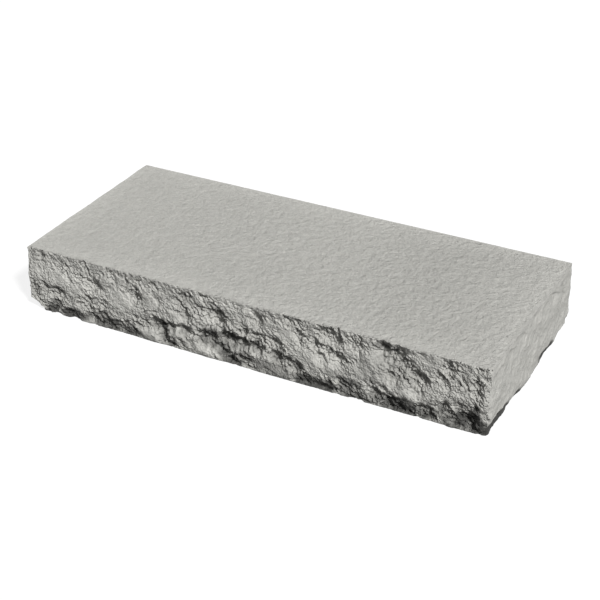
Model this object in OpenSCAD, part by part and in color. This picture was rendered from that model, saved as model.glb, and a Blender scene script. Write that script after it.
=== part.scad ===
// Precast concrete step with a pitched rock face on the front and both ends.
// +X runs along the tread to the right, +Y to the plain back, +Z up.
// The origin is the middle of the bed, so the step stands on z = 0.

/* [Step] */
// Overall length, end to end
step_length = 914.4; // [600:0.1:1830]
// Overall depth, front to back
step_depth = 406.4; // [300:0.1:610]
// Rise, from the bed to the tread
step_rise = 127; // [100:0.1:200]

/* [Rock face] */
// Spacing of the points that carry the rock's shape
point_pitch = 7.5; // [7:0.5:16]
// How far the plain belly of the front lies behind its proudest boulder
belly_setback = 1.5; // [0:0.5:10]
// How far the pitched edge of the tread lies behind the belly
arris_setback = 5; // [0:0.5:15]
// Height of the band below the tread that leans back to that edge
arris_band = 72; // [20:1:100]
// How far the foot of the ends tucks in at the bed
toe_setback = 2; // [0:0.5:15]
// Height of the band above the bed that tucks in
toe_band = 25; // [5:1:50]
// Height of the ledge that closes the hollows of the front's foot at the bed
ledge_height = 5; // [2:0.5:20]
// Depth of that ledge as a share of the hollow above it
ledge_share = 0.3; // [0:0.05:1]
// Height of the band below the tread where the relief of the ends dies away
calm_band = 16; // [5:1:40]
// Distance over which one rock face gives way to the next at a corner
corner_reach = 45; // [20:1:100]

/* [Spalls] */
// Depth of the hollows along the front's foot, as a share of their table
foot_share = 1; // [0:0.05:1.5]
// Slope of the walls of those foot hollows, in degrees
foot_slope = 42; // [20:1:60]
// Depth of the gaps between the boulders and of the long scar, as a share of their tables
gap_share = 1.1; // [0:0.05:1.5]
// Slope of the walls of the gaps and the long scar, in degrees
gap_slope = 33; // [15:1:60]
// Depth of the small scars on the upper face, as a share of their table
scar_share = 1.2; // [0:0.05:1.5]
// Slope of the walls of the small scars, in degrees
scar_slope = 28; // [15:1:60]
// Depth of the spalls on the ends, as a share of their tables
end_share = 1; // [0:0.05:1.5]
// Slope of the walls of the spalls on the ends, in degrees
end_slope = 45; // [20:1:60]
// Depth of the broken corners of the front, as a share of their table
corner_share = 1; // [0:0.05:1.5]
// Slope of the walls of the broken corners, in degrees
corner_slope = 56; // [20:1:70]

/* [Broken texture] */
// Width of the broad swells of the rock
swell_width = 55; // [30:1:120]
// Height of the broad swells, each way
swell_height = 0.8; // [0:0.1:6]
// Width of the small lumps
lump_width = 19; // [12:1:40]
// Height of the small lumps, each way
lump_height = 0.6; // [0:0.1:4]
// Small random spalls on each metre of rock face
spalls_per_metre = 25; // [0:5:200]
// Longest lip of a small random spall
small_spall = 30; // [20:1:80]
// Depth of a small random spall as a share of its lip
small_share = 0.1; // [0:0.01:0.2]
// Which random pattern the rock has
rock_seed = 7; // [1:1:99]

/* [Hidden] */

// Faces that the tables below are drawn on
drawn_front = 914;
drawn_end = 406;
drawn_rise = 127;

// Spalls placed by hand. A spall is a scar with a sloped wall under a lip, and a floor that comes back out.
// Each row: the lip's left end along and up the drawn face, its right end along and up it,
// the depth of the spall and the run of its floor.

// Hollows along the foot of the front, from left to right
foot_table = [
    [36, 26, 58, 17, 6, 40], [56, 38, 68, 33, 9, 60], [62, 38, 78, 22, 11, 90],
    [74, 24, 106, 20, 12, 90], [102, 22, 120, 2, 10, 90], [122, 29, 142, 22, 6, 24],
    [148, 38, 174, 35, 9, 30], [140, 25, 166, 25, 9, 40], [160, 27, 196, 19, 12, 90],
    [190, 17, 208, 3, 9, 60], [198, 27, 216, 19, 6, 24], [210, 34, 224, 28, 9, 40],
    [222, 30, 249, 7, 10, 60], [561, 27, 592, 22, 13, 90], [586, 22, 640, 10, 12, 90],
    [618, 30, 634, 10, 5, 20], [644, 38, 664, 32, 10, 30], [650, 27, 692, 23, 11, 26],
    [664, 16, 704, 8, 9, 60], [640, 14, 668, 11, 7, 40], [703, 42, 720, 37, 10, 36],
    [716, 39, 732, 26, 10, 36], [728, 37, 754, 29, 13, 90], [746, 31, 774, 14, 14, 90],
    [768, 17, 796, 2, 11, 90], [778, 27, 794, 22, 7, 24], [788, 32, 818, 29, 12, 30],
    [812, 31, 826, 10, 10, 30], [828, 48, 846, 42, 8, 24], [842, 38, 882, 23, 13, 50],
    [870, 54, 884, 48, 9, 40], [878, 52, 908, 20, 14, 90], [878, 24, 916, 4, 12, 90],
];
// Gaps between the low boulders
gap_table = [
    [252, 49, 272, 40, 5, 20], [268, 59, 292, 52, 10, 26], [284, 54, 306, 45, 11, 28],
    [294, 48, 305, 6, 8, 16], [298, 17, 318, 8, 8, 20], [302, 53, 320, 47, 7, 16],
    [316, 50, 337, 54, 7, 16], [332, 55, 351, 47, 8, 16], [350, 47, 374, 43, 5, 12],
    [366, 60, 408, 57, 12, 26], [402, 57, 418, 38, 12, 26], [412, 40, 432, 18, 13, 26],
    [424, 24, 452, 0, 12, 26], [406, 74, 428, 75, 10, 20], [420, 76, 450, 71, 13, 22],
    [444, 73, 476, 63, 13, 20], [468, 66, 503, 53, 11, 20], [440, 33, 476, 21, 8, 24],
    [440, 18, 478, 8, 7, 24], [508, 56, 547, 49, 11, 24], [544, 52, 558, 36, 8, 20],
    [556, 50, 578, 38, 9, 22], [531, 43, 542, 20, 5, 14],
];
// The long broken scar that falls from the tread to the right
long_scar_table = [
    [706, 130, 738, 131, 13, 50], [730, 132, 762, 119, 13, 50], [748, 116, 776, 104, 12, 46],
    [768, 108, 782, 86, 12, 46], [774, 94, 806, 84, 12, 42], [796, 88, 816, 66, 11, 36],
];
// Small scars on the upper face
scar_table = [
    [-4, 62, 22, 59, 8, 26], [-4, 47, 24, 43, 6, 20], [30, 64, 48, 56, 7, 24], [44, 58, 70, 60, 7, 24],
    [60, 60, 86, 54, 6, 24], [125, 64, 148, 58, 7, 26], [142, 60, 176, 60, 6, 24],
    [120, 50, 150, 44, 4, 20], [148, 104, 166, 80, 6, 26], [236, 104, 252, 78, 7, 26],
    [326, 122, 354, 118, 5, 26], [322, 108, 342, 92, 4, 20], [340, 94, 360, 78, 7, 24],
    [352, 103, 384, 100, 5, 24], [382, 106, 404, 98, 8, 36], [384, 116, 430, 88, 11, 40],
    [460, 86, 470, 74, 6, 20], [466, 80, 496, 78, 6, 22], [494, 84, 507, 70, 6, 20],
    [476, 123, 498, 115, 6, 24], [480, 110, 490, 94, 4, 16], [511, 85, 528, 75, 6, 22],
    [524, 80, 544, 66, 6, 22], [592, 98, 608, 80, 6, 24], [600, 80, 622, 74, 6, 22],
    [612, 96, 632, 80, 7, 26], [626, 84, 654, 69, 7, 26], [604, 130, 626, 118, 6, 22],
    [632, 130, 648, 100, 8, 26], [656, 122, 694, 114, 5, 20], [528, 128, 568, 124, 4, 20],
    [560, 112, 578, 100, 5, 22], [728, 88, 756, 72, 6, 26], [760, 104, 776, 92, 5, 20],
    [776, 76, 802, 58, 6, 24], [820, 104, 848, 90, 6, 24], [838, 128, 856, 112, 6, 22],
    [836, 108, 852, 94, 5, 20], [860, 98, 880, 84, 4, 20], [880, 108, 904, 97, 5, 24],
    [888, 92, 906, 76, 5, 20], [892, 66, 902, 48, 5, 20], [852, 56, 876, 52, 6, 24],
];
// The broken bottom corners of the front
corner_table = [[-25, 32, 26, -2, 8, 90], [900, -6, 930, 24, 4, 90]];
// The rows of the ends read from the front corner to the back corner
right_table = [
    [-70, 24, 110, 15, 10, 60], [90, 12, 170, 6, 4, 60], [160, 7, 240, 11, 3, 60],
    [230, 13, 320, 8, 5, 60], [310, 8, 460, 12, 5, 60], [288, 124, 345, 98, 5, 40],
    [78, 126, 122, 110, 3, 30], [122, 134, 168, 110, 3, 30], [155, 92, 195, 70, 2, 30],
    [366, 114, 384, 64, 4, 30],
];
left_table = [
    [-40, 30, 76, 0, 9, 60], [80, 7, 170, 12, 4, 60], [160, 12, 240, 7, 3, 60],
    [230, 9, 310, 14, 5, 60], [300, 14, 446, 9, 5, 60], [116, 70, 176, 90, 3, 30],
    [256, 104, 346, 118, 3, 30],
];
// Boulders that swell out of the front: place along, place up, half length, half height and height
bulge_table = [
    [328, 24, 26, 22, 3], [388, 22, 40, 24, 3], [450, 38, 32, 15, 4], [268, 14, 26, 14, 3],
    [715, 78, 36, 32, 3], [772, 46, 58, 18, 3], [688, 12, 34, 12, 3], [845, 12, 28, 14, 3],
    [172, 97, 15, 15, 3], [257, 97, 15, 15, 3],
];

// The front's hollows are shallower in a narrow band at each corner
corner_band = 14;
corner_floor = 0.4;
// What is left of the relief of the ends at the tread
calm_floor = 0.25;

// Columns of points round the step and rows of points up it
rows = max(4, round(step_rise / point_pitch));
row_pitch = step_rise / rows;
front_columns = max(8, round(step_length / point_pitch));
end_columns = max(8, round(step_depth / point_pitch));
longest_face = max(step_length, step_depth);

function mix(a, b, t) = a + (b - a) * t;
function clamp(t) = min(1, max(0, t));
function ease(t) = t * t * (3 - 2 * t);

// A grid of random heights that covers one face at one cell width
function height_grid(cell, seed) = let (
    across = ceil(longest_face / cell) + 2,
    up = ceil(step_rise / cell) + 3
) [cell, across, rands(-1, 1, across * up, seed)];

// Smooth random height of a grid at a place on the face
function height_at(grid, along, up) = let (
    u = max(0, along) / grid[0],
    v = max(0, up + grid[0]) / grid[0],
    column = floor(u),
    row = floor(v),
    first = row * grid[1] + column,
    fu = ease(u - column),
    fv = ease(v - row)
) mix(
    mix(grid[2][first], grid[2][first + 1], fu),
    mix(grid[2][first + grid[1]], grid[2][first + grid[1] + 1], fu),
    fv
);

// A spall in millimetres, from the ends of its lip:
// [its middle along, its middle up, half reach, cosine and sine of its slope, depth, width of its wall, run]
function spall(start, end, depth, run, slope) = let (
    lip = norm(end - start),
    middle = (start + end) / 2,
    lie = (end - start) / lip
) [middle[0], middle[1], 0.65 * lip, lie[0], lie[1], depth, max(1, depth / tan(slope)), run];

// The hand-placed spalls of a table, on a face of a given length
function placed_spalls(table, share, slope, drawn_length, face_length) = let (
    along = face_length / drawn_length,
    up = step_rise / drawn_rise
) [
    for (t = table)
        spall([t[0] * along, t[1] * up], [t[2] * along, t[3] * up], t[4] * share, t[5], slope)
];

// Small spalls scattered at random, with lips that mostly slope down to the right
function scattered_spalls(face_length, share, seed) = let (
    count = round(spalls_per_metre * face_length / 1000),
    r = rands(0, 1, 5 * max(1, count), seed)
) [
    for (i = [0:1:count - 1]) let (
        k = 5 * i,
        middle = [r[k] * face_length, r[k + 1] * step_rise],
        lip = mix(0.4, 1, r[k + 2]) * small_spall,
        lie = mix(-75, 15, r[k + 3]),
        half = lip / 2 * [cos(lie), sin(lie)]
    ) spall(middle - half, middle + half, lip * small_share * share, lip * mix(0.3, 0.6, r[k + 4]), scar_slope)
];

// How deep one spall cuts at a place on the face
function spall_cut(s, along, up) = let (
    da = along - s[0],
    du = up - s[1],
    side = abs(da * s[3] + du * s[4]) / s[2],
    below = da * s[4] - du * s[3],
    drop = clamp(below / s[6] + 0.2),
    back = clamp((s[6] + s[7] - below) / s[7])
) side >= 1 ? 0 : s[5] * ease(drop) * ease(back) * (1 - side * side * side);

// How deep the deepest of some spalls cuts
function deepest(spalls, along, up) = max([0, for (s = spalls) spall_cut(s, along, up)]);

// The hand-placed bulges of a table, on the front: [along, up, half length, half height, height]
function placed_bulges(table) = let (along = step_length / drawn_front, up = step_rise / drawn_rise) [
    for (t = table) [t[0] * along, t[1] * up, t[2] * along, t[3] * up, t[4]]
];

// How far one bulge swells out at a place on the face
function bulge_rise(b, along, up) = let (
    da = (along - b[0]) / b[2],
    du = (up - b[1]) / b[3],
    near = max(0, 1 - da * da - du * du)
) b[4] * near * (2 - near);

// The swells and lumps of one face, and how deep they lie at a place on it
function texture(seed) = [height_grid(swell_width, seed), height_grid(lump_width, seed + 1)];
function texture_at(grids, along, up) =
    swell_height * (1 + height_at(grids[0], along, up)) + lump_height * height_at(grids[1], along, up);

foot_spalls = placed_spalls(foot_table, foot_share, foot_slope, drawn_front, step_length);
face_spalls = concat(
    placed_spalls(concat(gap_table, long_scar_table), gap_share, gap_slope, drawn_front, step_length),
    placed_spalls(scar_table, scar_share, scar_slope, drawn_front, step_length),
    scattered_spalls(step_length, 1, rock_seed));
corner_spalls = placed_spalls(corner_table, corner_share, corner_slope, drawn_front, step_length);
front_bulges = placed_bulges(bulge_table);
front_texture = texture(rock_seed + 1);

// An end: its spalls and its texture
function rock_end(table, seed) = [
    concat(
        placed_spalls(table, end_share, end_slope, drawn_end, step_depth),
        scattered_spalls(step_depth, 0.6, seed)),
    texture(seed + 1),
];
right_end = rock_end(right_table, rock_seed + 10);
left_end = rock_end(left_table, rock_seed + 20);

// How far the front lies behind its proudest boulder, at a place on it
function front_depth(along, up) = let (
    lean = arris_setback * ease(clamp((up - step_rise + arris_band) / (0.8 * arris_band))),
    ledge = mix(ledge_share, 1, ease(clamp(up / ledge_height))),
    inside = mix(corner_floor, 1, ease(clamp(min(along, step_length - along) / corner_band))),
    hollow = max(ledge * deepest(foot_spalls, along, up), deepest(face_spalls, along, up)),
    cut = max(inside * hollow, deepest(corner_spalls, along, up)),
    bulge = max([0, for (b = front_bulges) bulge_rise(b, along, up)])
) max(0, belly_setback + lean + cut + texture_at(front_texture, along, up) - bulge);

// How far an end lies behind its proudest rock, at a place on it
function end_depth(end, along, up) = let (
    calm = mix(calm_floor, 1, ease(clamp((step_rise - up) / calm_band))),
    toe = max(0, 1 - up / toe_band)
) max(0, calm * (deepest(end[0], along, up) + toe_setback * toe * toe + texture_at(end[1], along, up)));

// How much of a neighbour's relief a face shares at a distance from their corner
function near_corner(distance) = ease(max(0, 1 - distance / corner_reach));

// One closed outline of the step at a height, with all or none of its relief:
// the front from left to right, the right end, then the left end from the back
function outline(up, relief) = let (
    front = [for (i = [0:front_columns]) relief * front_depth(step_length * i / front_columns, up)],
    right = [for (i = [0:end_columns]) relief * end_depth(right_end, step_depth * i / end_columns, up)],
    left = [for (i = [0:end_columns]) relief * end_depth(left_end, step_depth * i / end_columns, up)]
) [
    for (i = [0:front_columns]) let (s = step_length * i / front_columns) [
        s - step_length / 2 + near_corner(s) * left[0] - near_corner(step_length - s) * right[0],
        front[i] - step_depth / 2],
    for (i = [1:end_columns]) let (s = step_depth * i / end_columns) [
        step_length / 2 - right[i],
        s - step_depth / 2 + near_corner(s) * front[front_columns]],
    for (i = [end_columns:-1:1]) let (s = step_depth * i / end_columns) [
        left[i] - step_length / 2,
        s - step_depth / 2 + near_corner(s) * front[0]],
];

// The rock-faced blank, lofted through outlines that run past the bed and the tread.
// The first and last outline are plain rectangles, which the slab cuts away.
module rock_blank() {
    last = rows + 3;
    heights = [for (j = [0:last]) (j - 1.5) * row_pitch];
    rings = [for (j = [0:last]) outline(min(max(heights[j], 0), step_rise), j == 0 || j == last ? 0 : 1)];
    n = len(rings[0]);
    below = n * (last + 1);
    points = [
        for (j = [0:last]) for (p = rings[j]) [p[0], p[1], heights[j]],
        [0, 0, heights[0]],
        [0, 0, heights[last]],
    ];
    walls = [
        for (j = [0:last - 1]) for (i = [0:n - 1]) let (
            a = j * n + i, b = j * n + (i + 1) % n, c = b + n, d = a + n
        ) each [[a, d, b], [d, c, b]]
    ];
    caps = [
        for (i = [0:n - 1]) let (k = (i + 1) % n) each [
            [i, k, below],
            [last * n + k, last * n + i, below + 1]]
    ];
    polyhedron(points, concat(walls, caps), convexity = 10);
}

// The slab between the bed and the tread, wider than any rock
module rise_slab() {
    translate([-step_length, -step_depth, 0])
        cube([2 * step_length, 2 * step_depth, step_rise]);
}

module concrete_step() {
    color([0.69, 0.69, 0.67]) intersection() {
        rock_blank();
        rise_slab();
    }
}

concrete_step();
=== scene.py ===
"""Looks of the precast concrete step: rock relief, stippled tread, concrete, light and camera."""

import math

import bpy
import numpy as np
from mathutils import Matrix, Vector


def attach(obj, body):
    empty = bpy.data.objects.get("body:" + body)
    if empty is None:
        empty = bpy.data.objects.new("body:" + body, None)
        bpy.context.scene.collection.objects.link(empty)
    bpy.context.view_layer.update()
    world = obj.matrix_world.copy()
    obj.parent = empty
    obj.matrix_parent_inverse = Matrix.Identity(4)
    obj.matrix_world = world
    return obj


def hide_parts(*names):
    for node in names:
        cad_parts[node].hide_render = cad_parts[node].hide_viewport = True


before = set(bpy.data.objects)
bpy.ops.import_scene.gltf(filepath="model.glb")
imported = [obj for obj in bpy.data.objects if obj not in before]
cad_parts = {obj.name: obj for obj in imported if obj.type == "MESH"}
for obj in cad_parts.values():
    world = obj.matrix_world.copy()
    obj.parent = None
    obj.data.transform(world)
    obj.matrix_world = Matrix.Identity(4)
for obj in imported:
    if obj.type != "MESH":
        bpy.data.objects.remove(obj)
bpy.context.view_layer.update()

# Lengths are in millimetres up to the mesh
MM = 0.001
NODE = "concrete_step"
PIECE = "step_concrete"
HALF_LENGTH = 457.2
HALF_DEPTH = 203.2
RISE = 127.0
LENGTH = 2 * HALF_LENGTH
DEPTH = 2 * HALF_DEPTH

# Grid of the walls: fine columns on the front and the right end, coarser ones elsewhere
FRONT_RATIO = 4
RIGHT_RATIO = 3
BACK_COLUMNS = 160
LEFT_COLUMNS = 60
FRONT_COLUMNS = BACK_COLUMNS * FRONT_RATIO
RIGHT_COLUMNS = LEFT_COLUMNS * RIGHT_RATIO
ROWS = 84
rng = np.random.default_rng(41)

# Edges: how far a wall pulls its neighbour in, the worn arris between the front and the right end,
# the ledge that closes the hollows of the foot at the bed, and the soft arrises of the other edges
CORNER_REACH = 45.0
CORNER_ROUND = 2.5
CORNER_BAND = 10.0
LEDGE = 5.0
SOFT_ARRIS = 1.0
# Plain profile of the front: depth at some heights, with a belly below the pitched arris
PROFILE_HEIGHTS = (0, 14, 55, 85, 110, 127)
PROFILE_DEPTHS = (1.5, 1.5, 1.5, 4, 7, 6.5)
ARRIS_BAND = 14
# Toe of the ends: depth, height
END_TOE = (0.5, 25)
TREAD_DROP = 0.4
# How far the ends lie in at the tread, at the first and the last column
RIGHT_LEANS = (3.5, 1.5)
LEFT_LEANS = (4, 1)

# Steepness of the wall under a lip, and the share of the drawn depth that is cut
FOOT_SLOPE, FOOT_SHARE = 0.9, 0.65
GAP_SLOPE, GAP_SHARE = 0.6, 1.1
FACE_SLOPE, FACE_SHARE = 0.45, 1.35
SCAR_SLOPE, SCAR_SHARE = 0.6, 1.1
CHIP_SLOPE, CHIP_SHARE = 0.62, 1.15
CORNER_SLOPE = 1.5
UNDERCUT_SLOPE = 0.45
END_SLOPE = 1.0
CHIP_RUN = 3

# Random waves: strength, cell. The shifts make lips and facets jagged, and the wavers change depths
LIP_SHIFTS = ((2.5, 24), (1.4, 10), (0.8, 6))
FACET_SHIFTS = ((2.0, 12), (1.2, 5))
END_SHIFTS = ((3.5, 30), (1.2, 11))
LEDGE_WAVER = ((1, 12),)
HOLLOW_WAVER = ((0.35, 8),)
CHIP_WAVER = ((0.4, 9),)
CORNER_WAVER = ((0.8, 15),)
ARRIS_WAVES = ((2.2, 26), (1.3, 9))
FRONT_SWELL = ((0.7, 60),)
END_SWELL = ((1, 60),)
BACK_SWELL = ((0.3, 90),)
END_GRAIN = ((0.3, 9), (0.3, 5.5))
TREAD_WAVES = ((0.35, 30), (0.2, 12))
# Facets: strength, cell, curve, tilt. Those that lie along the slant are twice as long as wide
BROAD_FACET = (0.2, 26, 0.25, 0.12)
SLANTED_FACETS = ((0.15, 11, 0.35, 0.18), (0.22, 6, 0.4, 0.25))
END_FACETS = ((0.4, 30, 0.2, 0.1), (0.35, 13, 0.3, 0.15))
# Grain of the mesh: strength, stretch along the slant, cell
FRONT_GRAIN = ((0.5, 2, 7), (1.5, 2.5, 4.5), (1.2, 1.5, 3.0))
# Roughness of the front: where it is whole, what a break adds, and how much a calm place takes off
WHOLE_ROUGH = 0.42
BROKEN_ROUGH = 1.9
CALM_SHARE = 0.75
# Depth at which a hollow or a chip counts as a full break
FULL_HOLLOW, FULL_CHIP = 5, 2
# Weakening at an edge: width of the band, share that is left at the edge
LEDGE_CUT = (LEDGE, 0.1)
HOLLOW_ENDS = (14, 0.4)
ROUGH_BED = (7, 0.35)
ROUGH_CORNER = (8, 0.2)
END_TOP = (16, 0.25)
# Bump of the material on the front, right, back and left walls and on the tread
WALL_GRAIN = (1.8, 0.42, 0.3, 0.5)
TREAD_GRAIN = 0.7
TREAD_GRAIN_PLACES = (-HALF_LENGTH, -250, 250, HALF_LENGTH)
TREAD_GRAIN_SHARES = (0.6, 0.8, 1.2, 1.0)
CALM_BUMP_SHARE = 0.5
# Tone of the concrete, as a share of its colour, and painted shade and dirt
# Painted light: the front, and the right end a little, are painted paler than the back and the left end
FRONT_TONE = 1.07
RIGHT_TONE = 1.01
RIM_TONE = 1.03
TREAD_SHADE, TREAD_RIM, TREAD_FRONT_RIM = 0.08, 70, 8
# Dark spot of the tread: its place, its widths, its strength
SPOT_X, SPOT_Y, SPOT_WIDTH, SPOT_DEPTH, SPOT_SHADE = 270, 40, 130, 240, 0.05
# Painted shade and dirt in the low hollows, the undercut and along the bed: strength, height or depth where
# it sets in and where it is full
LOW_SHADE_AND_DIRT = ((0.7, 58, 28), (0.4, 22, 8))
BED_SHADE_AND_DIRT = ((0.28, 17, 0),)
HOLLOW_SHADE_AND_DIRT = ((1, 1.2, 7.2),)
UNDERCUT_SHADE_AND_DIRT = ((1.5, 0.525, 4.025),)
# Painted shade: how much darker in tone the right end's undercut foot is painted
UNDERCUT_SHADE = 0.35
GAP_SHADE_AND_DIRT_SHARE = 0.7

# Hollows of the front, close to those of the CAD solid: both ends of the lip (along, up), depth, run.
# These lie along the foot
FOOT_HOLLOWS = [
    (36, 26, 58, 17, 6, 40), (56, 38, 68, 33, 9, 60), (62, 38, 78, 22, 11, 90), (74, 24, 106, 20, 12, 90),
    (102, 22, 120, 2, 10, 90), (122, 29, 142, 22, 6, 24), (148, 38, 174, 35, 9, 30),
    (140, 25, 166, 25, 9, 40), (160, 27, 196, 19, 12, 90), (190, 17, 208, 3, 9, 60),
    (198, 27, 216, 19, 6, 24), (210, 34, 224, 28, 9, 40), (222, 30, 249, 7, 10, 60),
    (561, 29, 592, 25, 13, 90), (586, 24, 640, 12, 12, 90), (618, 30, 634, 10, 5, 20),
    (644, 38, 664, 32, 10, 30), (650, 27, 692, 23, 11, 26), (664, 16, 704, 8, 9, 60),
    (640, 14, 668, 11, 7, 40), (703, 42, 720, 37, 10, 36), (716, 39, 732, 26, 10, 36),
    (728, 37, 754, 29, 13, 90), (746, 31, 774, 14, 14, 90), (768, 17, 796, 2, 11, 90),
    (778, 27, 794, 22, 7, 24), (788, 32, 818, 29, 12, 30), (812, 31, 826, 10, 10, 30),
    (828, 48, 846, 42, 11, 24), (842, 38, 882, 23, 17, 40), (866, 54, 880, 48, 12, 40),
    (873, 51, 902, 20, 18, 90), (878, 24, 916, 4, 12, 90), (398, 64, 420, 42, 20, 16),
    (416, 48, 438, 24, 20, 14), (434, 26, 458, 4, 20, 14),
]
# Between the boulders
GAP_HOLLOWS = [
    (252, 49, 272, 40, 5, 20), (268, 59, 292, 52, 10, 26), (288, 56, 310, 48, 11, 22),
    (300, 50, 311, 8, 10, 14), (304, 20, 324, 10, 9, 16), (306, 56, 322, 50, 9, 14),
    (316, 53, 340, 57, 9, 14), (332, 58, 353, 50, 10, 14), (350, 47, 374, 43, 5, 12),
    (366, 60, 408, 57, 15, 26), (406, 68, 428, 69, 13, 20), (420, 70, 450, 66, 16, 22),
    (444, 69, 476, 61, 15, 20), (468, 69, 500, 60, 12, 14), (442, 33, 478, 24, 6, 14),
    (444, 18, 480, 10, 5, 14), (508, 60, 545, 53, 11, 18), (546, 54, 558, 42, 8, 14),
    (556, 50, 578, 38, 9, 22), (531, 43, 542, 20, 5, 14),
]
# On the upper face
FACE_HOLLOWS = [
    (-4, 62, 22, 59, 6, 26), (-4, 47, 24, 43, 5, 20), (30, 64, 48, 56, 5, 24), (44, 58, 70, 60, 5, 24),
    (60, 60, 86, 54, 4, 24), (125, 64, 148, 58, 5, 26), (142, 60, 176, 60, 5, 24), (120, 50, 150, 44, 4, 20),
    (148, 104, 166, 80, 6, 26), (236, 104, 252, 78, 7, 26), (326, 122, 354, 118, 5, 26),
    (322, 108, 342, 92, 4, 20), (340, 94, 360, 78, 7, 24), (352, 103, 384, 100, 5, 24),
    (382, 106, 404, 98, 8, 36), (388, 111, 432, 94, 11, 36), (460, 86, 470, 74, 6, 20),
    (466, 80, 496, 78, 6, 22), (494, 84, 507, 70, 6, 20), (476, 123, 498, 115, 6, 24),
    (480, 110, 490, 94, 4, 16), (511, 85, 528, 75, 6, 22), (524, 80, 544, 66, 6, 22),
    (598, 102, 614, 84, 6, 24), (600, 80, 622, 74, 6, 22), (620, 99, 640, 84, 7, 26),
    (630, 91, 660, 78, 7, 26), (604, 130, 626, 118, 6, 22), (632, 130, 648, 100, 8, 26),
    (656, 122, 694, 114, 5, 20), (528, 128, 568, 124, 4, 20), (560, 112, 578, 100, 5, 22),
    (728, 88, 756, 72, 6, 26), (760, 104, 776, 92, 5, 20), (776, 76, 802, 58, 6, 24),
    (820, 104, 848, 90, 6, 24), (838, 128, 856, 112, 6, 22), (836, 108, 852, 94, 5, 20),
    (860, 98, 880, 84, 4, 20), (880, 108, 904, 97, 5, 24), (888, 92, 906, 76, 5, 20),
    (892, 66, 902, 48, 5, 20), (852, 56, 876, 52, 6, 24),
]
# The broken lower corners
CORNER_HOLLOWS = [(-25, 36, 34, -2, 12, 90), (900, -6, 930, 24, 2, 90)]
# The long broken scar that falls from the tread to the right
SCAR_HOLLOWS = [
    (706, 130, 738, 131, 13, 50), (730, 132, 762, 119, 13, 50), (748, 116, 776, 104, 10, 40),
    (768, 110, 782, 90, 9, 30), (772, 98, 806, 87, 10, 30), (796, 91, 812, 75, 8, 24),
]
# The undercut, painted darker with painted shade and dirt, that runs from the front round the foot of the
# right end
RIGHT_FOOT = [(-4, 24, 96, 23, 6.5, 60), (72, 19, 168, 8, 6.5, 60), (255, 19, 330, 14, 5, 40)]
# Hollows of the ends: along from the front on the right one, from the back on the left one
RIGHT_HOLLOWS = [
    (90, 12, 150, 6, 2, 60), (250, 13, 320, 8, 3, 60), (310, 18, 420, 16, 5, 60), (288, 124, 345, 98, 3, 40),
    (78, 126, 122, 110, 3, 30), (122, 134, 168, 110, 3, 30), (155, 92, 195, 70, 2, 30),
    (366, 114, 384, 64, 4, 30),
]
LEFT_HOLLOWS = [
    (-40, 9, 106, 14, 5, 60), (96, 14, 176, 9, 5, 60), (166, 7, 246, 12, 3, 60), (236, 12, 326, 7, 4, 60),
    (330, 0, 446, 34, 13, 60), (60, 118, 150, 104, 3, 30), (230, 90, 290, 70, 3, 30),
]
# Boulders that swell out of the front: place along, place up, half length, half height, height
FRONT_BULGES = [
    (328, 24, 26, 22, 3), (388, 22, 40, 24, 3), (450, 38, 32, 15, 4), (268, 14, 26, 14, 3),
    (715, 78, 36, 32, 3), (772, 46, 58, 18, 3), (688, 12, 34, 12, 3), (845, 12, 28, 14, 3),
    (172, 97, 15, 15, 3), (257, 97, 15, 15, 3),
]
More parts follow.
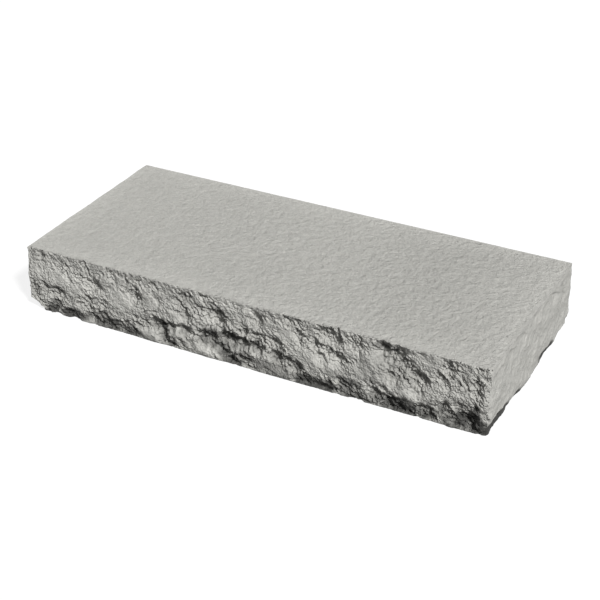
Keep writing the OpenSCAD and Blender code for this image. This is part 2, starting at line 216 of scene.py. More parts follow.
# Small chips of the front that the CAD solid leaves out:
# middle of the lip (along, up), its length, its slope in degrees, depth
FRONT_CHIPS = [
    (727, 80, 12, -40, 4), (734, 73, 12, -25, 4), (748, 80, 12, -45, 4), (766, 73, 12, -35, 4),
    (781, 81, 13, -35, 4), (786, 73, 10, -25, 3), (558, 97, 12, -40, 3), (571, 91, 13, -38, 4),
    (583, 96, 12, -42, 3), (9, 120, 16, -80, 3), (36, 122, 14, -50, 4), (6, 104, 18, -10, 2),
    (62, 126, 8, -60, 2), (91, 126, 8, -20, 2), (88, 113, 12, -35, 3), (120, 124, 12, -70, 3),
    (132, 122, 12, -80, 3), (124, 98, 28, 2, 2.5), (136, 105, 18, -75, 3), (190, 121, 14, -65, 3),
    (193, 109, 22, -72, 3), (202, 122, 12, -80, 2), (211, 98, 26, 3, 2.5), (221, 109, 24, -75, 3),
    (64, 103, 12, -20, 2), (78, 102, 10, -60, 2), (90, 92, 14, -70, 2), (95, 82, 12, -60, 2),
    (83, 89, 8, -40, 2), (5, 53, 20, 8, 5), (12, 42, 24, -5, 4), (28, 38, 20, -20, 3), (38, 60, 14, -60, 5),
    (62, 55, 16, 5, 4), (50, 48, 16, -3, 4), (38, 46, 14, -15, 3), (15, 46, 14, 10, 3), (62, 45, 12, -30, 2),
    (78, 54, 14, -40, 2), (126, 46, 16, -30, 3), (142, 50, 18, -25, 4), (132, 43, 14, -40, 3),
    (170, 55, 20, -60, 3), (176, 56, 10, -70, 2), (115, 38, 14, -20, 2), (128, 34, 14, -20, 3),
    (110, 48, 12, 0, 2), (135, 27, 22, -10, 6), (147, 20, 20, -30, 6), (104, 12, 22, -25, 6),
    (60, 12, 24, -20, 5), (38, 12, 22, -15, 4), (20, 26, 18, -15, 3), (30, 20, 16, -25, 3),
    (205, 20, 20, -35, 5), (216, 29, 16, -25, 5), (276, 120, 14, -30, 3), (283, 111, 10, -50, 2),
    (262, 112, 12, -60, 2), (243, 119, 14, -10, 2), (250, 108, 14, -50, 2), (241, 100, 14, -55, 5),
    (251, 84, 16, -60, 3), (288, 86, 14, -80, 3), (258, 64, 14, -10, 2), (272, 67, 14, 10, 2),
    (318, 121, 10, 10, 2), (334, 119, 14, -20, 4), (348, 118, 10, -70, 4), (338, 108, 16, -55, 3),
    (348, 105, 14, -50, 3), (330, 98, 14, -60, 3), (335, 90, 10, -40, 2), (345, 88, 12, -60, 5),
    (352, 82, 14, -35, 5), (318, 79, 14, -5, 2), (325, 76, 14, -20, 2), (376, 126, 18, 0, 4),
    (378, 115, 10, -85, 2), (370, 102, 34, 0, 3), (390, 99, 22, -20, 5), (400, 111, 14, -50, 4),
    (408, 105, 14, -60, 4), (416, 99, 16, -55, 5), (424, 91, 14, -50, 5), (372, 74, 12, -60, 2),
    (374, 66, 14, -45, 3), (358, 58, 14, -60, 2), (335, 60, 10, -20, 2), (238, 46, 20, -10, 3),
    (252, 47, 16, -15, 3), (240, 35, 24, -12, 4), (256, 36, 14, -20, 3), (266, 46, 14, -30, 4),
    (280, 44, 16, -40, 5), (262, 28, 14, -20, 2), (336, 23, 16, -30, 4), (338, 16, 18, -35, 4),
    (318, 20, 12, -30, 2), (330, 36, 12, -10, 2), (350, 28, 10, -50, 2), (388, 33, 12, -45, 3),
    (370, 20, 10, -45, 2), (402, 10, 14, -75, 2), (396, 38, 12, -30, 2), (436, 70, 14, -45, 4),
    (420, 66, 16, 45, 4), (440, 100, 12, -45, 2), (463, 83, 20, -65, 4), (470, 78, 18, -3, 4),
    (488, 78, 16, -20, 4), (504, 79, 14, -65, 4), (500, 66, 24, -32, 4), (512, 62, 12, -25, 2),
    (484, 117, 10, -30, 4), (493, 117, 10, -10, 4), (478, 121, 12, -30, 2), (488, 104, 18, -70, 3),
    (518, 79, 14, -25, 4), (528, 77, 18, -35, 4), (537, 69, 12, -40, 4), (507, 48, 18, 0, 4),
    (520, 92, 14, -10, 1.5), (541, 31, 24, -72, 5), (552, 36, 18, -60, 4), (558, 44, 12, -40, 4),
    (571, 40, 14, -30, 5), (556, 27, 14, -60, 3), (540, 20, 16, -30, 3), (503, 14, 14, -20, 3),
    (513, 11, 10, -30, 2), (538, 125, 12, -3, 3), (558, 124, 18, -8, 3), (571, 111, 14, -10, 3),
    (571, 103, 12, -25, 3), (556, 107, 14, -50, 2), (545, 116, 14, -30, 2), (615, 124, 20, -32, 4),
    (607, 113, 12, -30, 2), (628, 114, 14, -60, 2), (643, 116, 30, -65, 6), (605, 95, 18, -45, 3),
    (602, 86, 16, -55, 3), (611, 77, 16, -5, 3), (622, 90, 14, -50, 3), (632, 87, 10, -10, 2),
    (643, 88, 10, -5, 3), (647, 80, 10, 0, 3), (637, 79, 16, -45, 4), (650, 72, 18, -8, 3),
    (664, 75, 10, -5, 3), (671, 80, 8, -40, 2), (585, 88, 16, -40, 2), (570, 84, 14, -50, 2),
    (590, 78, 14, -10, 1.5), (629, 23, 18, -60, 4), (650, 34, 16, -35, 5), (662, 30, 16, -20, 5),
    (677, 31, 14, -10, 5), (684, 28, 12, -50, 4), (672, 12, 20, -10, 5), (684, 9, 14, -20, 4),
    (640, 12, 16, -20, 4), (668, 122, 12, -60, 3), (675, 116, 10, -40, 3), (682, 121, 16, -70, 3),
    (690, 118, 10, -40, 2), (662, 113, 10, -30, 2), (703, 119, 20, 12, 3), (720, 124, 18, -10, 4),
    (742, 121, 18, -10, 4), (756, 112, 14, -20, 4), (768, 106, 14, -50, 4), (776, 88, 14, -40, 4),
    (802, 83, 14, -30, 4), (760, 100, 14, -20, 3), (766, 97, 10, -60, 3), (733, 87, 14, -50, 3),
    (752, 75, 14, -35, 5), (735, 73, 12, -60, 3), (770, 71, 12, -30, 4), (786, 70, 14, -40, 4),
    (795, 60, 14, -50, 3), (775, 56, 20, -3, 1.5), (838, 76, 12, -50, 3), (842, 88, 14, -50, 3),
    (847, 102, 18, -45, 3), (830, 97, 14, -20, 3), (810, 92, 14, -50, 3), (835, 113, 12, -60, 2),
    (846, 113, 14, -60, 3), (852, 121, 14, -50, 4), (862, 113, 10, -40, 2), (865, 100, 20, -40, 2),
    (868, 92, 14, -40, 2), (876, 90, 12, -20, 3), (877, 84, 12, -85, 3), (860, 116, 12, -30, 2),
    (885, 124, 12, -10, 2), (898, 126, 12, -40, 3), (908, 122, 14, -80, 3), (892, 104, 14, -45, 5),
    (899, 99, 12, -20, 4), (905, 110, 12, -20, 3), (901, 85, 22, -40, 3), (898, 59, 18, -65, 3),
    (890, 100, 10, -60, 2), (726, 44, 12, -20, 3), (707, 46, 14, -40, 3), (718, 20, 18, -50, 5),
    (712, 30, 12, -60, 5), (732, 30, 12, -50, 5), (690, 44, 12, -20, 2), (700, 34, 12, -20, 2),
    (792, 26, 14, -10, 5), (815, 22, 16, -40, 5), (790, 12, 16, -30, 4), (822, 14, 12, -50, 4),
    (840, 45, 14, -40, 6), (852, 36, 20, -25, 5), (865, 44, 14, -40, 5), (858, 50, 14, -20, 3),
    (846, 26, 18, -30, 4), (872, 24, 16, -30, 5), (832, 30, 16, -25, 3), (884, 50, 16, -60, 5),
    (895, 36, 18, -55, 5), (902, 22, 14, -60, 4), (890, 14, 16, -50, 4), (905, 10, 16, -40, 4),
]
# Calm areas of the front, with few chips and little grain: place along, place up, half length, half height
CALM_AREAS = [
    (72, 80, 32, 15), (106, 66, 20, 13), (207, 69, 30, 19), (170, 97, 9, 9), (128, 6, 14, 7), (18, 88, 16, 9),
    (268, 14, 26, 13), (272, 82, 18, 18), (325, 66, 28, 10), (394, 81, 22, 14), (388, 17, 44, 16),
    (450, 41, 28, 10), (326, 36, 20, 14), (470, 112, 14, 12), (540, 88, 24, 15), (606, 55, 48, 20),
    (520, 14, 42, 9), (600, 9, 36, 10), (716, 90, 26, 18), (730, 56, 30, 16), (772, 46, 34, 12),
    (800, 116, 16, 9), (685, 60, 18, 24), (845, 10, 24, 9),
]
# Places of the front painted darker, painted shade and dirt: place along, place up, half length, half height,
# strength
SHADED_AND_DIRTY_AREAS = [
    (598, 9, 46, 14, 1.5), (755, 14, 32, 19, 1.5), (803, 22, 20, 9, 0.8), (868, 22, 26, 11, 1.6),
    (888, 26, 16, 24, 1.3), (900, 10, 28, 20, 1.5), (96, 10, 34, 15, 1.2), (180, 14, 30, 13, 1.1),
    (222, 18, 18, 9, 0.6), (655, 26, 12, 7, 0.8), (680, 12, 26, 11, 0.7), (390, 52, 24, 10, 1.1),
    (432, 53, 24, 11, 1.0), (462, 53, 34, 9, 1.0), (411, 96, 19, 9, 0.6), (407, 33, 8, 10, 1.2),
    (416, 22, 9, 9, 1.2), (427, 12, 10, 8, 1.1), (726, 116, 26, 9, 0.8), (442, 12, 14, 12, 0.7),
    (460, 22, 22, 11, 0.9), (508, 18, 44, 13, 0.65), (293, 42, 13, 13, 1.3), (305, 14, 12, 13, 0.6),
    (530, 46, 20, 6, 0.8), (562, 36, 16, 9, 0.6), (515, 8, 46, 9, 0.7), (665, 32, 24, 9, 0.9),
    (335, 50, 24, 6, 0.6), (700, 10, 24, 10, 0.6),
]
# Places of the front painted paler and darker, painted light and shade: place along, place up, half length,
# half height, strength
LIT_AND_SHADED_AREAS = [
    (60, 84, 70, 30, 0.18), (140, 72, 60, 22, 0.16), (207, 69, 45, 28, 0.08), (415, 119, 88, 12, 0.35),
    (470, 112, 26, 16, 0.1), (395, 76, 30, 14, 0.15), (585, 70, 90, 18, 0.1), (640, 58, 70, 22, 0.04),
    (395, 14, 36, 16, 0.25), (335, 40, 32, 12, 0.15), (330, 26, 40, 14, -0.18), (335, 104, 36, 14, -0.2),
    (735, 80, 62, 30, -0.22), (650, 38, 36, 12, -0.18), (20, 45, 40, 14, -0.12),
]


# Ramps and ovals

def fade(t):
    return t * t * t * (t * (6 * t - 15) + 10)


def ease(t):
    return t * t * (3 - 2 * t)


def ramp(value, start, end):
    """A soft rise from 0 at the start to 1 at the end."""
    return ease(np.clip((value - start) / (end - start), 0, 1))


def ramps(value, table):
    return sum(strength * ramp(value, start, end) for strength, start, end in table)


def grow(value, band, least):
    """A soft rise from the least share at an edge to the whole past the band."""
    return least + (1 - least) * ramp(value, 0, band)


def oval(s, z, place, middle=1.0):
    """Nearness to the middle of an oval: place along, place up, half length, half height."""
    along, up, half_length, half_height = place
    return np.clip(middle - ((s - along) / half_length) ** 2 - ((z - up) / half_height) ** 2, 0, 1)


def spread(field, times=12):
    """A field blurred by so many passes of a small average."""
    for _ in range(times):
        padded = np.pad(field, 1, mode="edge")
        field = (padded[:-2, 1:-1] + padded[2:, 1:-1] + padded[1:-1, :-2] + padded[1:-1, 2:] + field) / 5
    return field


# Random fields and cuts

def noise(u, v, cell):
    """Gradient noise, about -1 to 1, with features of about one cell."""
    x, y = u / cell, v / cell
    x0, y0 = np.floor(x).astype(int), np.floor(y).astype(int)
    fx, fy = x - x0, y - y0
    x0 -= x0.min()
    y0 -= y0.min()
    angle = rng.uniform(0, 2 * math.pi, (x0.max() + 2, y0.max() + 2))
    gx, gy = np.cos(angle), np.sin(angle)

    def corner(i, j):
        return gx[x0 + i, y0 + j] * (fx - i) + gy[x0 + i, y0 + j] * (fy - j)

    sx, sy = fade(fx), fade(fy)
    low = corner(0, 0) + (corner(1, 0) - corner(0, 0)) * sx
    high = corner(0, 1) + (corner(1, 1) - corner(0, 1)) * sx
    return 1.5 * (low + (high - low) * sy)


def waves(u, v, table):
    return sum(strength * noise(u, v, cell) for strength, cell in table)


def jagged(s, z, shifts):
    """Places shifted a little at random, so that the lips are jagged."""
    ds = waves(s, z, shifts)
    dz = waves(s, z, shifts)
    return s + ds, z + dz


def slanted(s, z):
    """Places along and across the slant in which the front breaks, about 45 degrees."""
    return 0.7 * s - 0.71 * z, 0.71 * s + 0.7 * z


def scoops(s, z, cell, curve, tilt):
    """Shallow dishes that meet in sharp ridges, one for each cell."""
    x, y = s / cell, z / cell
    x0, y0 = np.floor(x).astype(int), np.floor(y).astype(int)
    x0, y0, x, y = x0 - x0.min() + 1, y0 - y0.min() + 1, x - x0.min() + 1, y - y0.min() + 1
    shape = (x0.max() + 2, y0.max() + 2)
    px, py = rng.uniform(0, 1, shape), rng.uniform(0, 1, shape)
    gx, gy, lift = rng.normal(0, tilt, shape), rng.normal(0, tilt, shape), rng.uniform(-0.1, 0.1, shape)
    depth = np.full_like(s, -9.0)
    for i in (-1, 0, 1):
        for j in (-1, 0, 1):
            cx, cy = x0 + i, y0 + j
            dx, dy = x - cx - px[cx, cy], y - cy - py[cx, cy]
            dish = lift[cx, cy] + gx[cx, cy] * dx + gy[cx, cy] * dy - curve * (dx * dx + dy * dy)
            depth = np.maximum(depth, dish)
    return cell * (depth - depth.mean())


def hollow_cut(s, z, hollow, slope):
    """How deep a hollow cuts: a sloped wall under its lip, and a floor that comes back out over its run."""
    s1, z1, s2, z2, deep, run = hollow
    lip = math.hypot(s2 - s1, z2 - z1)
    cos, sin = (s2 - s1) / lip, (z2 - z1) / lip
    da, du = s - (s1 + s2) / 2, z - (z1 + z2) / 2
    side = np.clip(np.abs(da * cos + du * sin) / (0.8 * lip), 0, 1)
    below = da * sin - du * cos
    wall = deep / slope
    drop = ramp(below, -0.2 * wall, 0.8 * wall)
    back = ramp(below, wall + run, wall)
    return deep * drop * back * (1 - side ** 2) ** 2


def deepest(s, z, hollows, slope):
    depth = np.zeros_like(s)
    for hollow in hollows:
        depth = np.maximum(depth, hollow_cut(s, z, hollow, slope))
    return depth


def chip(along, up, lip, slope, deep):
    """A hollow given by the middle of its lip, the lip's length and its slope in degrees."""
    da, du = lip / 2 * math.cos(math.radians(slope)), lip / 2 * math.sin(math.radians(slope))
    return along - da, up - du, along + da, up + du, deep, CHIP_RUN * deep


def bulges(s, z, table):
    rise = np.zeros_like(s)
    for *place, height in table:
        near = oval(s, z, place)
        rise = np.maximum(rise, height * near * (2 - near))
    return rise


def openness(depth, step_s, step_z):
    """Share of the sky that each point of a face sees, from the rise of the face around it."""
    pad = 20
    ways = 8
    rows, columns = depth.shape
    padded = np.pad(depth, pad, mode="edge")
    seen = np.zeros_like(depth)
    for k in range(ways):
        ds, dz = math.cos(2 * math.pi * k / ways), math.sin(2 * math.pi * k / ways)
        horizon = np.zeros_like(depth)
        for reach in (2, 4, 7, 11, 16, 22):
            i, j = round(dz * reach / step_z), round(ds * reach / step_s)
            other = padded[pad + i:pad + i + rows, pad + j:pad + j + columns]
            horizon = np.maximum(horizon, (depth - other) / reach)
        seen += 1 - horizon / np.sqrt(1 + horizon ** 2)
    return seen / ways


# Relief of each face, in millimetres behind the plain box

heights = np.linspace(0, RISE, ROWS + 1)


def face_grid(length, columns):
    s = np.tile(np.linspace(0, length, columns + 1), (ROWS + 1, 1))
    z = np.tile(heights[:, None], (1, columns + 1))
    return s, z


def swell(s, z, table):
    """Broad waves that only cut in."""
    return sum(strength * (1 + noise(s, z, cell)) for strength, cell in table)


# Painted light and shade: the front's tone, paler on the whole, and paler and darker in the places of the
# table
def painted_light_and_shade(s, z):
    tone = np.full_like(s, FRONT_TONE)
    for *place, strength in LIT_AND_SHADED_AREAS:
        tone += strength * ease(oval(s, z, place, 1.1))
    return tone


def calmness(s, z):
    calm = np.zeros_like(s)
    for place in CALM_AREAS:
        calm = np.maximum(calm, ease(oval(s, z, place, 1.2)))
    return calm


def painted_shade_and_dirt(s, z, cut):
    """Painted shade and dirt: darker in the low hollows, all along the bed, and in the places of the table.
    """
    shade_and_dirt = np.maximum(ramps(cut, HOLLOW_SHADE_AND_DIRT) * ramps(z, LOW_SHADE_AND_DIRT), ramps(z, BED_SHADE_AND_DIRT))
    for *place, strength in SHADED_AND_DIRTY_AREAS:
        shade_and_dirt = np.maximum(shade_and_dirt, strength * ease(oval(s, z, place, 1.3)))
    return shade_and_dirt


def worn_corner(distance, z):
    """How far the arris between the front and the right end is worn, more in some places than in others."""
    wear = 1 + waves(0 * z, z, CORNER_WAVER)
    return CORNER_ROUND * wear * np.clip(1 - distance / CORNER_BAND, 0, 1) ** 2


def front_relief():
    """Depth of the front, its painted shade and dirt in the hollows, its tone with painted light and shade,
    and where it is calm.
    """
    s, z = face_grid(LENGTH, FRONT_COLUMNS)
    ws, wz = jagged(s, z, LIP_SHIFTS)
    foot = deepest(ws, wz, FOOT_HOLLOWS, FOOT_SLOPE)
    gaps = deepest(ws, wz, GAP_HOLLOWS, GAP_SLOPE)
    face = deepest(ws, wz, FACE_HOLLOWS, FACE_SLOPE)
    scar = deepest(ws, wz, SCAR_HOLLOWS, SCAR_SLOPE)
    chips = deepest(ws, wz, [chip(*row) for row in FRONT_CHIPS], CHIP_SLOPE)
    corner = deepest(ws, wz, CORNER_HOLLOWS, CORNER_SLOPE)
    # Painted shade and dirt in the low hollows and the gaps, and painted light and shade in the tone
    shade_and_dirt = painted_shade_and_dirt(ws, wz, np.maximum(foot, GAP_SHADE_AND_DIRT_SHARE * gaps))
    tone = painted_light_and_shade(ws, wz)
    calm = calmness(ws, wz)

    # Hollows and chips, closed by the ledge at the bed and shallower towards both ends
    ledge = grow(z + waves(s, z, LEDGE_WAVER), *LEDGE_CUT)
    low = np.maximum(FOOT_SHARE * foot, GAP_SHARE * gaps) * ledge
    high = np.maximum(FACE_SHARE * face, SCAR_SHARE * scar)
    hollow = np.maximum(low, high) * (1 + waves(s, z, HOLLOW_WAVER))
    hollow = np.maximum(hollow, CHIP_SHARE * chips * (1 + waves(s, z, CHIP_WAVER)))
    at_end = grow(np.minimum(s, LENGTH - s), *HOLLOW_ENDS)
    depth = np.maximum(hollow * at_end, corner)

    # Belly, swells, boulders and a wavy arris
    depth += spread(np.interp(wz, PROFILE_HEIGHTS, PROFILE_DEPTHS)) + swell(s, z, FRONT_SWELL)
    depth -= bulges(ws, wz, FRONT_BULGES)
    depth += waves(s, 0 * z, ARRIS_WAVES) * ramp(z, RISE - ARRIS_BAND, RISE)

    # Broken texture, strongest in and around the hollows, weak at the bed and the right corner
    ws, wz = jagged(s, z, FACET_SHIFTS)
    strength, *facet = BROAD_FACET
    texture = strength * scoops(ws, wz, *facet)
    a, b = slanted(ws, wz)
    for strength, *facet in SLANTED_FACETS:
        texture += strength * scoops(a / 2, b, *facet)
    a, b = slanted(s, z)
    for strength, stretch, cell in FRONT_GRAIN:
        texture += strength * noise(a / stretch, b, cell)
    broken = spread(np.clip(np.maximum(hollow / FULL_HOLLOW, chips / FULL_CHIP), 0, 1)) * at_end
    rough = (WHOLE_ROUGH + BROKEN_ROUGH * broken) * (1 - CALM_SHARE * calm)
    rough *= grow(z, *ROUGH_BED) * grow(LENGTH - s, *ROUGH_CORNER)
    return depth + worn_corner(LENGTH - s, z) + rough * texture, shade_and_dirt, tone, calm


def end_relief(columns, hollows, foot, leans):
    """Depth of an end, and the painted shade and dirt in its undercut foot, which comes with the worn corner.
    """
    s, z = face_grid(DEPTH, columns)
    ws, wz = jagged(s, z, END_SHIFTS)
    under = deepest(ws, wz, foot, UNDERCUT_SLOPE)
    depth = np.maximum(deepest(ws, wz, hollows, END_SLOPE), under)
    toe, toe_height = END_TOE
    plain = swell(s, z, END_SWELL) + toe * np.clip(1 - z / toe_height, 0, None) ** 2
    for strength, *facet in END_FACETS:
        depth += strength * scoops(ws, wz, *facet)
    depth += waves(s, z, END_GRAIN)
    depth *= grow(RISE - z, *END_TOP)
    depth += plain + np.interp(s, (0, DEPTH), leans) * z / RISE
    if foot:
        depth += worn_corner(s, z)
    return depth, ramps(under, UNDERCUT_SHADE_AND_DIRT)


front, front_shade_and_dirt, front_tone, front_calm = front_relief()
right, right_shade_and_dirt = end_relief(RIGHT_COLUMNS, RIGHT_HOLLOWS, RIGHT_FOOT, RIGHT_LEANS)
left, left_shade_and_dirt = end_relief(LEFT_COLUMNS, LEFT_HOLLOWS, [], LEFT_LEANS)
back = swell(*face_grid(LENGTH, BACK_COLUMNS), BACK_SWELL)

# Soft arrises: the lowest ring lies in, and on the left and the back the highest one too
front[0] += SOFT_ARRIS
left[[0, -1]] += SOFT_ARRIS
back[[0, -1]] += SOFT_ARRIS

# The walls in the order of a ring, from the left front corner round to the right
WALLS = ((front, LENGTH), (right, DEPTH), (back, LENGTH), (left, DEPTH))


# The mesh: rings of points up the walls, a grid over the tread and one flat face for the bed

def near_corner(distance):
    return ramp(distance, CORNER_REACH, 0)


def along_wall(length, before, wall, after):
    """Places of a wall's columns, pulled in at its corners by the depth of the walls before and after it."""
    s = np.linspace(0, length, wall.shape[1])[:-1]
    return s + near_corner(s) * before[:, -1:] - near_corner(length - s) * after[:, :1]


def wall_points():
    """The points of the walls, ring by ring from the bed up."""
    x = np.concatenate([
        along_wall(LENGTH, left, front, right) - HALF_LENGTH,
        HALF_LENGTH - right[:, :-1],
        HALF_LENGTH - along_wall(LENGTH, right, back, left),
        left[:, :-1] - HALF_LENGTH,
    ], axis=1)
    y = np.concatenate([
        front[:, :-1] - HALF_DEPTH,
        along_wall(DEPTH, front, right, back) - HALF_DEPTH,
        HALF_DEPTH - back[:, :-1],
        HALF_DEPTH - along_wall(DEPTH, back, left, front),
    ], axis=1)
    z = np.tile(heights[:, None], (1, x.shape[1]))
    return np.stack([x, y, z], axis=-1).reshape(-1, 3), x.shape[1]


def wall_faces(count):
    ring = np.arange(count)
    faces = []
    for j in range(ROWS):
        a, b = j * count + ring, j * count + np.roll(ring, -1)
        faces += np.column_stack([a, b, b + count, a + count]).tolist()
    return faces


def tread_points(points, count):
    """The tread's grid of point numbers, with its edge on the top ring, and its new inner points."""
    top = ROWS * count
    nx, ny = BACK_COLUMNS, LEFT_COLUMNS
    back_first = FRONT_COLUMNS + RIGHT_COLUMNS
    left_first = back_first + BACK_COLUMNS
    front_ids = top + np.arange(0, FRONT_COLUMNS + 1, FRONT_RATIO)
    right_ids = top + FRONT_COLUMNS + np.arange(0, RIGHT_COLUMNS + 1, RIGHT_RATIO)
    back_ids = top + back_first + np.arange(0, nx + 1)[::-1]
    left_ids = top + ((left_first + np.arange(0, ny + 1)) % count)[::-1]
    u, v = np.meshgrid(np.arange(nx + 1) / nx, np.arange(ny + 1) / ny)
    u, v = u[..., None], v[..., None]
    fr, ba, le, ri = (points[ids][:, :2] for ids in (front_ids, back_ids, left_ids, right_ids))
    place = (
        (1 - v) * fr[None] + v * ba[None] + (1 - u) * le[:, None] + u * ri[:, None]
        - (1 - u) * (1 - v) * fr[0] - u * (1 - v) * fr[-1] - (1 - u) * v * ba[0] - u * v * ba[-1]
    )
    grid = np.zeros((ny + 1, nx + 1), int)
    grid[1:ny, 1:nx] = len(points) + np.arange((ny - 1) * (nx - 1)).reshape(ny - 1, nx - 1)
    grid[0], grid[ny], grid[:, 0], grid[:, nx] = front_ids, back_ids, left_ids, right_ids
    level = RISE + waves(place[..., 0], place[..., 1], TREAD_WAVES) - TREAD_DROP
    return grid, np.dstack([place, level])[1:ny, 1:nx].reshape(-1, 3)


def tread_faces(grid):
    """Faces of the tread; those along the front and the right end take in the finer points of the ring."""
    faces = []
    ny, nx = grid.shape[0] - 1, grid.shape[1] - 1
    for j in range(ny):
        for i in range(nx):
            loop = [grid[j, i]]
            if j == 0:
                loop += [grid[j, i] + k for k in range(1, FRONT_RATIO)]
            loop.append(grid[j, i + 1])
            if i == nx - 1:
                loop += [grid[j, i + 1] + k for k in range(1, RIGHT_RATIO)]
            loop += [grid[j + 1, i + 1], grid[j + 1, i]]
            faces.append([int(k) for k in loop])
    return faces


def tread_tone(x, y):
    """The tread is paler along its edges, and darkest to the right of its middle."""
    ends = np.minimum(x + HALF_LENGTH, HALF_LENGTH - x)
    inside = np.minimum(ends, np.minimum(y + HALF_DEPTH - TREAD_FRONT_RIM, HALF_DEPTH - y))
    spot = np.exp(-((x - SPOT_X) / SPOT_WIDTH) ** 2 - ((y - SPOT_Y) / SPOT_DEPTH) ** 2)
    return RIM_TONE - TREAD_SHADE * ramp(inside, 0, TREAD_RIM) - SPOT_SHADE * spot


def ring_values(fields):
    """Values of the four walls, ring by ring."""
    return np.concatenate([field[:, :-1] for field in fields], axis=1).ravel()


def put(mesh, name, values, kind="FLOAT", domain="POINT"):
    mesh.attributes.new(name, kind, domain).data.foreach_set("value", values)


def build_mesh():
    points, count = wall_points()
    faces = wall_faces(count)
    wall_size, top = len(points), ROWS * count
    grid, inner = tread_points(points, count)
    points = np.concatenate([points, inner])
    faces += tread_faces(grid)
    faces.append(list(range(count))[::-1])
    mesh = bpy.data.meshes.new(PIECE)
    mesh.from_pydata((points * MM).tolist(), [], faces)
    mesh.validate()
    mesh.update()

    # What the material reads: painted shade and dirt, how hidden a point is for painted shade, tone with
    # painted light and shade, and strength of the bump
    shade_and_dirt, shade_occlusion = np.zeros(len(points)), np.zeros(len(points))
    shade_and_dirt[:wall_size] = ring_values((front_shade_and_dirt, right_shade_and_dirt, 0 * back, left_shade_and_dirt))
    # Painted shade: the less sky a point of a wall sees, the darker it is painted
    shade_occlusion[:wall_size] = 1 - ring_values(
        [openness(wall, length / (wall.shape[1] - 1), RISE / ROWS) for wall, length in WALLS]
    )
    # Painted shade: the right end's tone is darker in its undercut foot
    right_tone = RIGHT_TONE - UNDERCUT_SHADE * np.minimum(right_shade_and_dirt, 1)
    tone = tread_tone(points[:, 0], points[:, 1])
    tone[:top] = ring_values((front_tone, right_tone, np.ones_like(back), np.ones_like(left)))[:top]
    bump = TREAD_GRAIN * np.interp(points[:, 0], TREAD_GRAIN_PLACES, TREAD_GRAIN_SHARES)
    shares = [np.full_like(wall, grain) for (wall, _), grain in zip(WALLS, WALL_GRAIN)]
    shares[0] *= 1 - CALM_BUMP_SHARE * front_calm
    bump[:wall_size] = ring_values(shares)
    for name, values in (("shade_and_dirt", shade_and_dirt), ("shade_occlusion", shade_occlusion), ("tone", tone), ("broken", bump)):
        put(mesh, name, values.astype(np.float32))

    # The front keeps its broken facets, and the rim of the tread is sharp
    smooth = np.ones(len(mesh.polygons), bool)
    smooth[:top] = np.tile(np.arange(count) >= FRONT_COLUMNS, ROWS)
    mesh.polygons.foreach_set("use_smooth", smooth)
    ends = np.empty(2 * len(mesh.edges), int)
    mesh.edges.foreach_get("vertices", ends)
    on_rim = ((ends >= top) & (ends < wall_size)).reshape(-1, 2).all(axis=1)
    put(mesh, "sharp_edge", on_rim, "BOOLEAN", "EDGE")
    return mesh


def add_object(name, data):
    added = bpy.data.objects.new(name, data)
    bpy.context.scene.collection.objects.link(added)
    return added


step_mesh = build_mesh()
step = add_object(PIECE, step_mesh)


# Concrete

CONCRETE_COLOUR = (0.452, 0.447, 0.420, 1)
CONCRETE_ROUGHNESS = 0.92
CONCRETE_SPECULAR = 0.2
# Scale, detail and amount of the noises in the tone, the bump and the painted shade and dirt
TONE_NOISES = ((5, 2, 0.12), (80, 3, 0.24), (220, 2, 0.32), (480, 2, 0.26))
BUMP_NOISES = ((130, 2, 1.0), (320, 2, 0.8), (75, 2, 1.8))
SHADE_AND_DIRT_NOISE = (90, 4, 1.2)
BUMP_DISTANCE = 0.003
# Painted shade in the recesses: how hidden a point may be before it darkens, and by how much it then does
OCCLUSION_FREE, OCCLUSION_SHADE = 0.15, 0.4
# Painted shade and dirt take this share of the tone on the whole, and leave at least that
SHADE_AND_DIRT_MEAN, SHADE_AND_DIRT_LEAST = 0.65, 0.19


def new_tree(material):
    material.use_nodes = True
    material.node_tree.nodes.clear()
    return material.node_tree


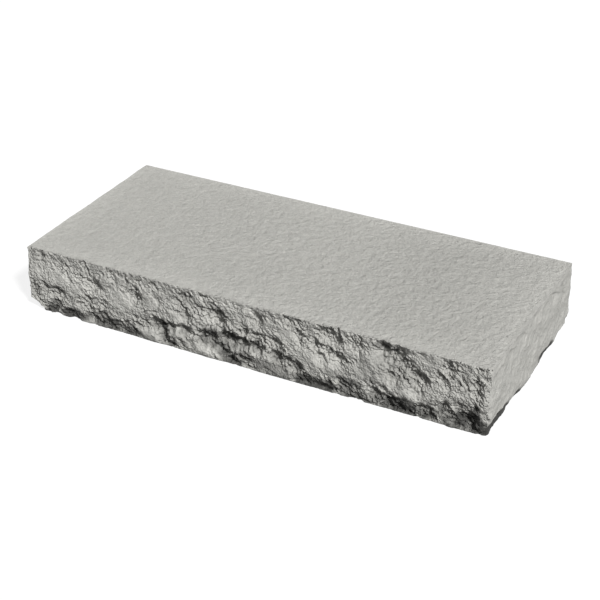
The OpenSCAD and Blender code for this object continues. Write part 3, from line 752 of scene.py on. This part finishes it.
def concrete_material():
    material = bpy.data.materials.new("concrete")
    tree = new_tree(material)
    new, link = tree.nodes.new, tree.links.new
    output = new("ShaderNodeOutputMaterial")
    shader = new("ShaderNodeBsdfPrincipled")
    shader.inputs["Roughness"].default_value = CONCRETE_ROUGHNESS
    shader.inputs["Specular IOR Level"].default_value = CONCRETE_SPECULAR
    link(shader.outputs["BSDF"], output.inputs["Surface"])
    coords = new("ShaderNodeTexCoord")

    def stored(name):
        node = new("ShaderNodeAttribute")
        node.attribute_name = name
        return node.outputs["Fac"]

    def calculate(operation, a, b):
        node = new("ShaderNodeMath")
        node.operation = operation
        for socket, value in zip(node.inputs, (a, b)):
            if isinstance(value, (int, float)):
                socket.default_value = value
            else:
                link(value, socket)
        return node.outputs[0]

    def swing(scale, detail, amount):
        """Noise that swings about nought."""
        node = new("ShaderNodeTexNoise")
        node.inputs["Scale"].default_value = scale
        node.inputs["Detail"].default_value = detail
        link(coords.outputs["Object"], node.inputs["Vector"])
        return calculate("MULTIPLY", calculate("SUBTRACT", node.outputs["Fac"], 0.5), amount)

    def total(first, *others):
        for other in others:
            first = calculate("ADD", first, other)
        return first

    # The stored tone holds painted light and shade of the front and the right end
    tone = total(stored("tone"), *(swing(*row) for row in TONE_NOISES))
    # Painted shade: hidden points of the relief are darker
    painted_shade_share = calculate("MAXIMUM", calculate("SUBTRACT", stored("shade_occlusion"), OCCLUSION_FREE), 0.0)
    tone = calculate("SUBTRACT", tone, calculate("MULTIPLY", painted_shade_share, OCCLUSION_SHADE))
    # Painted shade and dirt darken the tone in patches, down to a least share
    patchy = total(SHADE_AND_DIRT_MEAN, swing(*SHADE_AND_DIRT_NOISE))
    unpainted_share = calculate("SUBTRACT", 1.0, calculate("MULTIPLY", stored("shade_and_dirt"), patchy))
    tone = calculate("MULTIPLY", tone, calculate("MAXIMUM", unpainted_share, SHADE_AND_DIRT_LEAST))
    colour = new("ShaderNodeMix")
    colour.data_type = "RGBA"
    colour.blend_type = "MULTIPLY"
    colour.inputs["Factor"].default_value = 1.0
    colour.inputs["A"].default_value = CONCRETE_COLOUR
    link(tone, colour.inputs["B"])
    link(colour.outputs["Result"], shader.inputs["Base Color"])

    height = total(*(swing(*row) for row in BUMP_NOISES))
    bump = new("ShaderNodeBump")
    bump.inputs["Strength"].default_value = 1.0
    bump.inputs["Distance"].default_value = BUMP_DISTANCE
    link(calculate("MULTIPLY", height, stored("broken")), bump.inputs["Height"])
    link(bump.outputs["Normal"], shader.inputs["Normal"])
    return material


step_mesh.materials.append(concrete_material())
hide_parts(NODE)
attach(step, "root")


# Floor, light and camera

FLOOR_HALF = 12
FLOOR_COLOUR = (0.2, 0.2, 0.2, 1)
FLOOR_GLOW = 0.84
WHITE = (1, 1, 1, 1)
WORLD_LIGHT = 0.176
# Strength, width in degrees and direction towards the lamp
KEY = (3.84, 8, (0.575, -0.39, 0.682))
FILL = (0.8, 20, (-0.55, 0.82, 0.06))
CAMERA_LENS = 84.78
CAMERA_SENSOR = 36
CAMERA_PLACE = (1.04, -1.9984, 1.3587)
CAMERA_VIEW = (-0.3956, 0.7657, -0.5072)


def seen_directly(tree):
    """One where the camera, a reflection or a pane shows the backdrop, and nought where it only lights."""
    rays = tree.nodes.new("ShaderNodeLightPath")
    seen = rays.outputs["Is Camera Ray"]
    for other in ("Is Glossy Ray", "Is Transmission Ray"):
        either = tree.nodes.new("ShaderNodeMath")
        either.operation = "MAXIMUM"
        tree.links.new(seen, either.inputs[0])
        tree.links.new(rays.outputs[other], either.inputs[1])
        seen = either.outputs[0]
    return seen


def floor_material():
    """A grey floor that keeps the shadow, and looks white where it is seen."""
    material = bpy.data.materials.new("floor")
    tree = new_tree(material)
    new, link = tree.nodes.new, tree.links.new
    output = new("ShaderNodeOutputMaterial")
    grey = new("ShaderNodeBsdfDiffuse")
    grey.inputs["Color"].default_value = FLOOR_COLOUR
    glow = new("ShaderNodeEmission")
    glow.inputs["Color"].default_value = WHITE
    glow.inputs["Strength"].default_value = FLOOR_GLOW
    both = new("ShaderNodeAddShader")
    link(grey.outputs[0], both.inputs[0])
    link(glow.outputs[0], both.inputs[1])
    mix = new("ShaderNodeMixShader")
    link(seen_directly(tree), mix.inputs["Fac"])
    link(grey.outputs[0], mix.inputs[1])
    link(both.outputs[0], mix.inputs[2])
    link(mix.outputs[0], output.inputs["Surface"])
    return material


def studio_world():
    world = bpy.data.worlds.new("studio")
    tree = new_tree(world)
    output = tree.nodes.new("ShaderNodeOutputWorld")
    background = tree.nodes.new("ShaderNodeBackground")
    background.inputs["Color"].default_value = WHITE
    strength = tree.nodes.new("ShaderNodeMapRange")
    strength.inputs["To Min"].default_value = WORLD_LIGHT
    strength.inputs["To Max"].default_value = 1.0
    tree.links.new(seen_directly(tree), strength.inputs["Value"])
    tree.links.new(strength.outputs["Result"], background.inputs["Strength"])
    tree.links.new(background.outputs[0], output.inputs["Surface"])
    return world


def add_sun(name, energy, width, towards):
    data = bpy.data.lights.new(name, "SUN")
    data.energy = energy
    data.angle = math.radians(width)
    add_object(name, data).rotation_euler = Vector(towards).to_track_quat("Z", "Y").to_euler()


floor_mesh = bpy.data.meshes.new("floor")
floor_corners = [(FLOOR_HALF * x, FLOOR_HALF * y, 0) for x, y in ((-1, -1), (1, -1), (1, 1), (-1, 1))]
floor_mesh.from_pydata(floor_corners, [], [(0, 1, 2, 3)])
floor_mesh.materials.append(floor_material())
floor = add_object("floor", floor_mesh)

bpy.context.scene.world = studio_world()
add_sun("key", *KEY)
add_sun("fill", *FILL)

camera_data = bpy.data.cameras.new("camera")
camera_data.sensor_width = CAMERA_SENSOR
camera_data.lens = CAMERA_LENS
camera = add_object("camera", camera_data)
camera.location = CAMERA_PLACE
camera.rotation_euler = Vector(CAMERA_VIEW).to_track_quat("-Z", "Y").to_euler()
bpy.context.scene.camera = camera
bpy.context.scene.view_settings.view_transform = "Standard"
